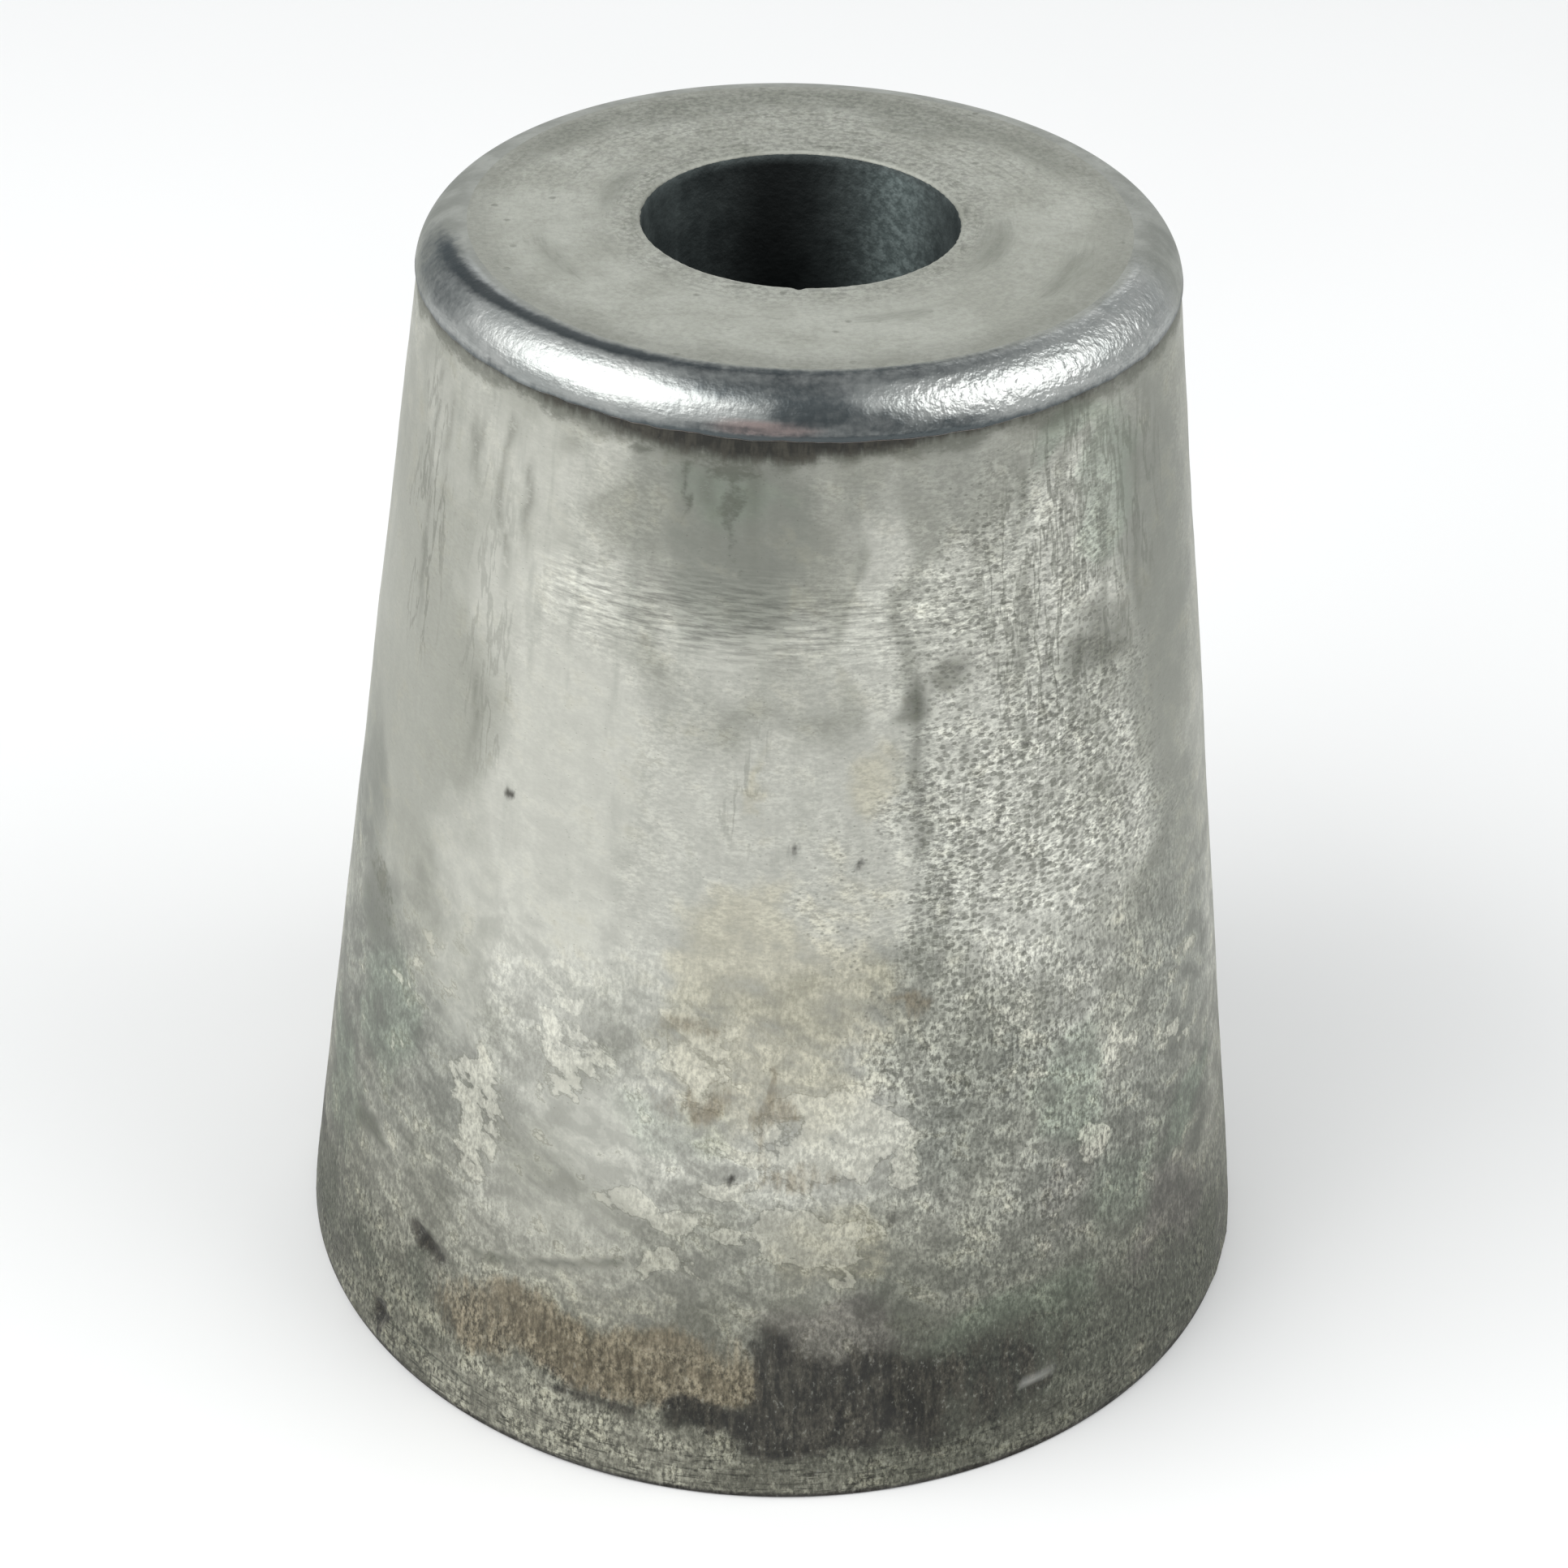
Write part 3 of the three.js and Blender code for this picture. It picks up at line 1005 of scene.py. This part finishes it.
# Dark drips down the side: angle, top, bottom, width and strength.
DRIPS = [
    (-62, 54.5, 41, 0.3, 0.9),
    (-57, 53.5, 47.5, 0.35, 0.6),
    (-50, 54.5, 49, 0.5, 0.9),
    (-43, 54.5, 45, 0.35, 0.8),
    (-38.5, 53, 47, 0.3, 0.7),
    (-47, 41.5, 36, 0.3, 0.7),
    (-12, 54.8, 50.5, 0.35, 0.8),
    (-5, 54.8, 49, 0.45, 0.7),
    (17.5, 46, 31, 0.35, 0.8),
    (24.5, 52, 33, 0.3, 0.7),
    (33, 54, 36, 0.35, 0.9),
    (41, 54, 34, 0.3, 0.9),
    (48, 54, 39, 0.3, 0.8),
    (56, 53, 41, 0.3, 0.6),
    (102, 54, 38, 0.35, 0.8),
    (131, 54, 44, 0.4, 0.8),
    (158, 54.5, 36, 0.3, 0.8),
    (-141, 54, 41, 0.35, 0.8),
    (-112, 54, 35, 0.35, 0.8),
    (-95, 54, 46, 0.4, 0.7),
]
SMALL_HOLES = [
    (1.5, 36.2),
    (10, 35.4),
    (-5, 18.7),
    (14.5, 16.2),
    (-38, 36),
    (104, 28),
    (-130, 22),
]
HOLE_RADIUS = 0.2
HOLE_DEPTH = 0.22


def side_relief(points, angle, height):
    """How far the cast side stands out from the true cone, in millimetres."""
    relief = 0.05 * fractal(points, 10.0, 3, 1) + 0.014 * fractal(points, 1.6, 2, 2)
    tooled = unit((4.2 - height) / 1.2)
    relief += tooled * 0.035 * fractal(points * np.array([0.16, 0.16, 2.2]), 1.0, 3, 3)
    for start, end, width, depth in GOUGES:
        distance, share = along_line(angle, height, start, end)
        ends = np.sin(np.pi * np.clip(share, 0.06, 0.94)) ** 0.5
        relief -= depth * ends * bell(distance / (width * 0.5))
        relief += 0.25 * abs(depth) * ends * bell((distance - width * 0.9) / (width * 0.35))
    for centre, radius, rise in BLISTERS:
        away = from_spot(angle, height, centre)
        relief += rise * bell((away - radius) / (radius * 0.3))
    for hole in SMALL_HOLES:
        relief -= HOLE_DEPTH * bell(from_spot(angle, height, hole) / HOLE_RADIUS)
    return relief


def side_masks(points, angle, height):
    """The masks of the side, with their outlines bent so that no stain is a true oval."""
    bent_angle = angle + 4.5 * fractal(points, 4.0, 3, 21)
    bent_height = height + 1.4 * fractal(points, 4.0, 3, 22)
    back = scatter_back()
    masks = {name: ovals(bent_angle, bent_height, shapes + back[name]) for name, shapes in OVALS.items()}
    masks["scratch"] = np.zeros_like(height)
    masks["drip"] = np.zeros_like(height)

    def draw(name, drawn):
        masks[name] = np.maximum(masks[name], drawn)

    broken = unit(0.85 + 0.5 * fractal(points, 0.9, 2, 24))
    for start, end, width, depth in GOUGES:
        distance, _ = along_line(angle, height, start, end)
        name = "black" if depth > 0.08 else "dark"
        if depth < 0:
            name = "scratch"
        strength = min(1, abs(depth) / 0.12)
        draw(name, strength * broken * unit(1.3 * bell(distance / (width * 0.55))))
    for hole in SMALL_HOLES:
        draw("black", bell(from_spot(angle, height, hole) / (1.4 * HOLE_RADIUS)))
    wander = angle + 2.2 * fractal(points, 3.5, 3, 25)
    patchy = unit(0.7 + 1.1 * fractal(points * np.array([1, 1, 0.5]), 1.2, 2, 26))
    for centre, top, bottom, width, strength in DRIPS:
        away = np.abs(turn_between(wander, centre)) * MM_PER_DEGREE
        ends = unit((top - height) / 0.8) * unit((height - bottom) / 3.0)
        draw("drip", unit(1.3 * strength * ends * patchy * bell(away / width)))
    # A band that was rubbed level, on the front only
    in_band = unit(1.3 - np.abs(height - 47.3) / 2.2)
    masks["rubbed"] = in_band * unit((36 - np.abs(angle + 1)) / 8)
    # Painted shadow under the rim's lip, over dark smudges: a dark band and a black line, most of all in
    # front
    under_rim_shadow = 0.63 + 1.05 * bell((angle + 7) / 22)
    reach = 1.1 + 1.0 * bell((angle + 9) / 15) + 0.5 * fractal(points, 2.5, 2, 23)
    below_rim = 55.9 - height
    draw("dark", unit(1.15 - below_rim / reach))
    draw("black", unit(under_rim_shadow - below_rim / 0.85))
    return masks


def rim_masks(angle, rise):
    """The rim's masks: the painted dark line under the top, the painted dark reflections and shade, and how
    far the polish has been lost.

    Rise runs from 0 at the rim's lower edge to 1 at the flat top.
    """
    # The painted dark line, the shade and dark reflection where the rim turns into the top, lies lower,
    # wider and darker on the left, and fades out to the right
    left = unit((20 - angle) / 80)
    level = np.interp(angle, [-75, -60, -45, -20, 20], [0.69, 0.76, 0.84, 0.88, 0.94])
    width = np.where(rise > level, 0.05 + 0.06 * left, 0.055 + 0.05 * left)
    strength = np.interp(angle, [-88, -72, -30, -12, 25, 50], [0, 0.95, 1.0, 0.65, 0.5, 0])
    line = strength * bell((rise - level) / width)
    dark_reflection_and_shade = np.zeros_like(angle)
    for centre, share, half_angle, half_rise, depth in RIM_DARK_REFLECTIONS:
        away = ((angle - centre) / half_angle) ** 2 + ((rise - share) / half_rise) ** 2
        dark_reflection_and_shade = np.maximum(dark_reflection_and_shade, depth * unit((1.9 - away) / 1.4))
    # The lower edge is painted dark, most of all in front: painted shade and dark reflection along the
    # rim's lip
    front = 0.7 + 0.5 * bell((angle - 5) / 24)
    dark_reflection_and_shade = np.maximum(dark_reflection_and_shade, front * unit(1 - (rise - 0.06) / 0.1))
    dull = unit((np.abs(angle - 2) - 66) / 14)
    dull = np.maximum(dull, unit((rise - 0.86) / 0.1) * 0.8)
    return line, dark_reflection_and_shade, dull


# Painted dark reflections on the rim: angle, rise, half the width of each and the depth of tone.
RIM_DARK_REFLECTIONS = [
    (3, 0.39, 7, 0.19, 0.75),
    (10, 0.26, 7, 0.15, 0.55),
    (19, 0.14, 9, 0.1, 0.6),
    (-9, 0.12, 9, 0.08, 0.5),
    (-4, 0.62, 14, 0.18, 0.6),
    (5, 0.84, 34, 0.15, 0.46),
    (-72, 0.5, 13, 0.34, 0.5),
]

# Blotches on the flat top: angle, radius, half their length, half their width and their strength.
TOP_BLOTCHES = [
    (180, 14, 5, 1, 0.8),
    (-154, 13.6, 4, 1.2, 0.8),
    (-130, 14.2, 3.6, 0.9, 0.7),
    (152, 13.4, 4, 1.2, 0.8),
    (127, 13.8, 3, 0.8, 0.7),
    (-106, 9.2, 2.6, 0.5, 0.6),
    (-66, 12.4, 2.4, 0.6, 0.5),
    (68, 13.4, 3, 0.6, 0.6),
    (75, 9.4, 2.6, 0.6, 0.6),
    (24, 11, 2.2, 0.4, 0.5),
    (154, 11.6, 1.6, 0.5, 0.9),
]


def top_masks(points):
    """The top's masks: blotches, how strongly the turning marks show, and where the face is darker."""
    x, y = points[..., 0], points[..., 1]
    blotches = np.zeros_like(x)
    from_axis = np.hypot(x, y)
    angle = np.degrees(np.arctan2(x, -y))
    for centre, radius, half_length, half_width, strength in TOP_BLOTCHES:
        along = np.radians(turn_between(angle, centre)) * radius / half_length
        away = np.hypot(along, (from_axis - radius) / half_width)
        blotches = np.maximum(blotches, strength * unit(1.6 - away))
    turning = unit(y / 12) + 0.8 * unit((9.6 - from_axis) / 1.5)
    shaded = 0.95 * unit((from_axis - 13.6) / 1.4)
    shaded += 0.6 * unit((10.2 - from_axis) / 2.2)
    shaded += 0.55 * unit((y - 2) / 10)
    return blotches, unit(turning), unit(shaded)


def bore_masks(angle):
    """The bore's masks: the painted lit side of its wall, and the painted shaded side."""
    pale = bell(turn_between(angle, 142) / 17)
    black = bell(turn_between(angle, 190) / 27)
    return pale, black, np.zeros_like(angle)


def shape_side(form, points, masks):
    """Gives the true cone its cast and handled surface, and stores its masks."""
    first, last = form.bands["side"]
    rows = slice(first, last + 1)
    angle = np.broadcast_to(form.angle, points[rows].shape[:2])
    height = points[rows][..., 2].copy()
    stored = side_masks(points[rows], angle, height)
    for name, members in MASK_SETS.items():
        masks[name][rows] = np.stack([stored[member] for member in members], axis=-1)
    ease = 1 - 0.6 * unit((height - 54.8) / 1.0)
    points[rows] += form.out * (side_relief(points[rows], angle, height) * ease)[..., None]


def shape_edges(form, points):
    """Wears the rim's lower edge, the mouth of the bore and the foot, so that none is quite true."""
    circle = form.out * 18
    first_rim = form.bands["rim"][0]
    lip = 0.1 * fractal(circle, 3.0, 3, 5) + 0.05 * fractal(circle, 0.8, 2, 6)
    for row, share in ((-1, 0.4), (0, 1.0), (1, 1.0), (2, 0.7)):
        points[first_rim + row, :, 2] += lip * share
    notch = 0.3 * bell(form.angle / 1.6)
    edge = 0.05 * fractal(circle, 0.7, 3, 7) + notch
    first, last = form.bands["mouth"]
    for row in range(first, last + 1):
        share = (row - first + 1) / (last - first + 1)
        points[row] += form.out * (edge * share)[:, None]
    ragged = 0.07 * fractal(circle, 0.9, 3, 8) + 0.06 * fractal(circle, 4.0, 2, 9)
    points[0] += form.out * (ragged - 0.02)[:, None]
    for row in range(3):
        points[row, :, 2] += np.clip(ragged, -0.1, 0.12) * (1 - row / 3)


def make_casting():
    form = Turned(COLUMNS)
    for name, outline in casting_bands().items():
        form.band(name, outline)
    form.close("heel")
    points = form.points()
    masks = {name: np.zeros_like(points) for name in MASK_SETS}
    shape_side(form, points, masks)

    rim, bore, top = (form.rows(name) for name in ("rim", "bore", "top"))
    angle = np.broadcast_to(form.angle, points[rim].shape[:2])
    rise = np.broadcast_to(np.linspace(0, 1, len(angle))[:, None], angle.shape)
    masks["skin"][rim] = np.stack(rim_masks(angle, rise), axis=-1)
    pink = unit(1.6 - ((angle + 4) / 7) ** 2 - ((rise - 0.17) / 0.09) ** 2)
    masks["stain_dark"][rim, :, 0] = pink
    masks["skin"][bore] = np.stack(bore_masks(form.angle), axis=-1)
    masks["skin"][top] = np.stack(top_masks(points[top]), axis=-1)

    shape_edges(form, points)
    piece = form.build("zinc_casting", points, CASTING_FINISH, masks)
    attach(piece, "root")
    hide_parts("anode_casting")


def make_bush():
    """The bush, with its hexagon, spigot, boss and chamfered hole."""
    form = Turned(192)
    round_off = 0.15
    spigot = BORE_RADIUS - CAST_GAP
    chamfer_height = HEX_FLATS * (1 / math.cos(math.pi / 6) - 1) * math.tan(math.radians(30))
    corners = hexagon(HEX_FLATS)
    outline = [
        (BOSS_RADIUS - round_off, REGISTER_DEPTH),
        (BOSS_RADIUS, REGISTER_DEPTH + round_off),
        (BOSS_RADIUS, HEX_BOTTOM),
        (HEX_FLATS, HEX_BOTTOM),
        (corners, HEX_BOTTOM + chamfer_height),
        (corners, HEX_TOP - chamfer_height),
        (HEX_FLATS, HEX_TOP),
        (spigot, HEX_TOP),
        (spigot, SEAT_HEIGHT - round_off),
        (spigot - round_off, SEAT_HEIGHT),
        (SCREW_HOLE_RADIUS + CHAMFER, SEAT_HEIGHT),
        (SCREW_HOLE_RADIUS, SEAT_HEIGHT - CHAMFER),
        (SCREW_HOLE_RADIUS, REGISTER_DEPTH + CHAMFER),
        (SCREW_HOLE_RADIUS + CHAMFER, REGISTER_DEPTH),
    ]
    form.band("bush", outline)
    form.close("bush")
    piece = form.build("steel_bush", form.points(), {"bush": (bush_material, 0.0, 1.0, 1)}, {})
    piece.data.polygons.foreach_set("use_smooth", [False] * len(piece.data.polygons))
    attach(piece, "root")
    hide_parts("screw_seat_bush")


make_camera()
light_studio()
make_floor()
make_casting()
make_bush()
